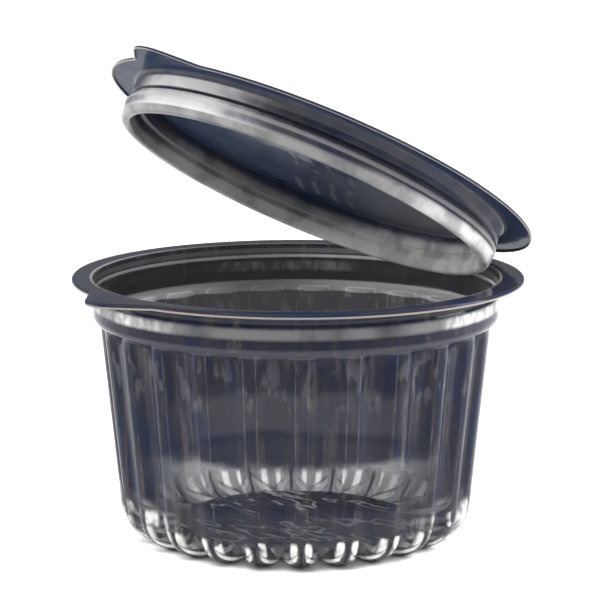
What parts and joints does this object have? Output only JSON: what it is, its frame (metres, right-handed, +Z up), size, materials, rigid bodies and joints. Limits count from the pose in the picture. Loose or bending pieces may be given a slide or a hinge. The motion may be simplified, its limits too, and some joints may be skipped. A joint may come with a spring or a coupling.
{
  "type": "hinged clear plastic food pack",
  "caption": "Round clear plastic food pack with a ribbed bowl and a recessed lid that swings on one folded edge.",
  "frame": {"origin": "centre of the ring of feet, on the surface that the bowl stands on", "axes": "+Z up along the bowl's axis, +Y towards the folded edge, -Y towards the finger tabs"},
  "size_m": [0.1392, 0.1499, 0.1553],
  "materials": {
    "clear_film": "clear glossy formed film",
    "clear_film_lid": "clear glossy formed film"
  },
  "bodies": {
    "bowl_body": {"bowl": "clear_film"},
    "lid_body": {"lid": "clear_film_lid"}
  },
  "joints": [
    {"name": "lid_fold", "type": "hinge", "parent": "bowl_body", "child": "lid_body", "pos_m": [0, 0.0713, 0.0818], "axis": [-1, 0, 0], "range_deg": [-29.3, 120.7]}
  ]
}
